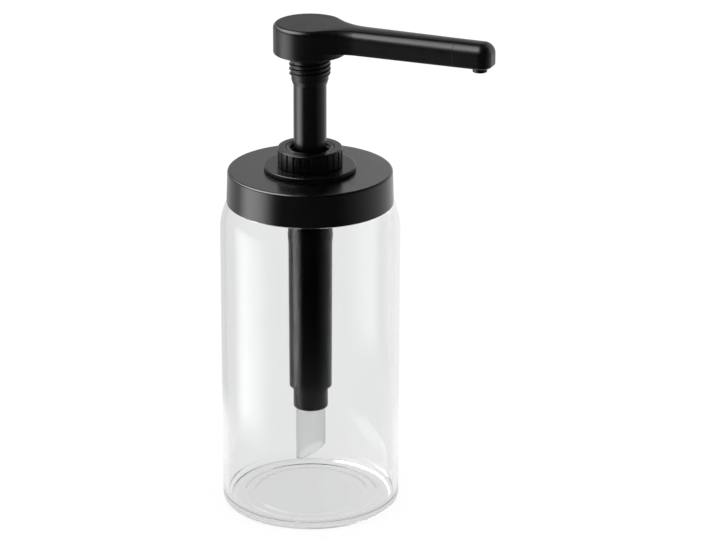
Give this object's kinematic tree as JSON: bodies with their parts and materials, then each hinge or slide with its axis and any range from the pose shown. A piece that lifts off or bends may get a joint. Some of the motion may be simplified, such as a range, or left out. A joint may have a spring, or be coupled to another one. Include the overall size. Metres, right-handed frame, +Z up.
{
  "type": "syrup pump dispenser",
  "caption": "Clear glass jar with a black screw lid and a hand pump: long side spout, ribbed collar, barrel and slanted dip tube inside.",
  "frame": {"origin": "centre of the jar's flat base, on the axis of jar, lid and pump", "axes": "+Z up along the axis of jar and pump, +X the way the spout points at rest"},
  "size_m": [0.1557, 0.1, 0.2801],
  "materials": {
    "jar_glass": "clear",
    "lid_black": "satin",
    "pump_black": "satin",
    "tube_white": "translucent",
    "natural_plastic": "moulded",
    "soft_seal": "soft",
    "black_rubber": "soft",
    "steel": "drawn"
  },
  "bodies": {
    "jar": {"glass_jar": "jar_glass"},
    "lid_ring": {"lid_gasket": "soft_seal"},
    "lid_and_barrel": {"jar_lid": "lid_black", "adapter_gasket": "black_rubber", "neck_adapter": "pump_black", "adapter_lock_nut": "pump_black", "barrel_gasket": "soft_seal", "barrel_head": "pump_black", "lock_thread_ring": "pump_black", "stem_wiper": "black_rubber", "pump_cylinder": "pump_black", "foot_valve_cap": "pump_black", "inlet_cage": "natural_plastic", "dip_tube": "tube_white", "return_spring": "steel"},
    "collar_ring": {"collar_slip_ring": "natural_plastic"},
    "collar": {"collar_nut": "pump_black"},
    "plunger": {"piston": "natural_plastic", "piston_seal": "black_rubber", "outlet_cage": "natural_plastic"},
    "head_and_spout": {"stem_tube": "pump_black", "pump_head": "pump_black", "spout_tip": "pump_black"},
    "inlet_valve": {"inlet_ball": "steel"},
    "outlet_valve": {"outlet_ball": "steel"}
  },
  "joints": [
    {"name": "lid_rise", "type": "slide", "parent": "jar", "child": "lid_ring", "axis": [0, 0, 1], "range_m": [0, 0.00605]},
    {"name": "lid_turn", "type": "hinge", "parent": "lid_ring", "child": "lid_and_barrel", "pos_m": [0, 0, 0.187], "axis": [0, 0, 1], "range_deg": [0, 540]},
    {"name": "collar_rise", "type": "slide", "parent": "lid_and_barrel", "child": "collar_ring", "axis": [0, 0, 1], "range_m": [0, 0.0035]},
    {"name": "collar_turn", "type": "hinge", "parent": "collar_ring", "child": "collar", "pos_m": [0, 0, 0.204], "axis": [0, 0, 1], "range_deg": [0, 390]},
    {"name": "pump_stroke", "type": "slide", "parent": "lid_and_barrel", "child": "plunger", "axis": [0, 0, -1], "range_m": [0, 0.042], "stiffness_N_per_m": 150, "springref_m": -0.03, "deforming": ["return_spring"]},
    {"name": "head_swivel", "type": "hinge", "parent": "plunger", "child": "head_and_spout", "pos_m": [0, 0, 0.23], "axis": [0, 0, 1], "continuous": true},
    {"name": "inlet_ball_lift", "type": "slide", "parent": "lid_and_barrel", "child": "inlet_valve", "axis": [0, 0, 1], "range_m": [0, 0.0025]},
    {"name": "outlet_ball_lift", "type": "slide", "parent": "plunger", "child": "outlet_valve", "axis": [0, 0, 1], "range_m": [0, 0.0025]}
  ],
  "couplings": [
    {"joint": "lid_rise", "follows": "lid_turn", "m_per_rad": 0.00063662},
    {"joint": "collar_rise", "follows": "collar_turn", "m_per_rad": 0.0005093}
  ]
}
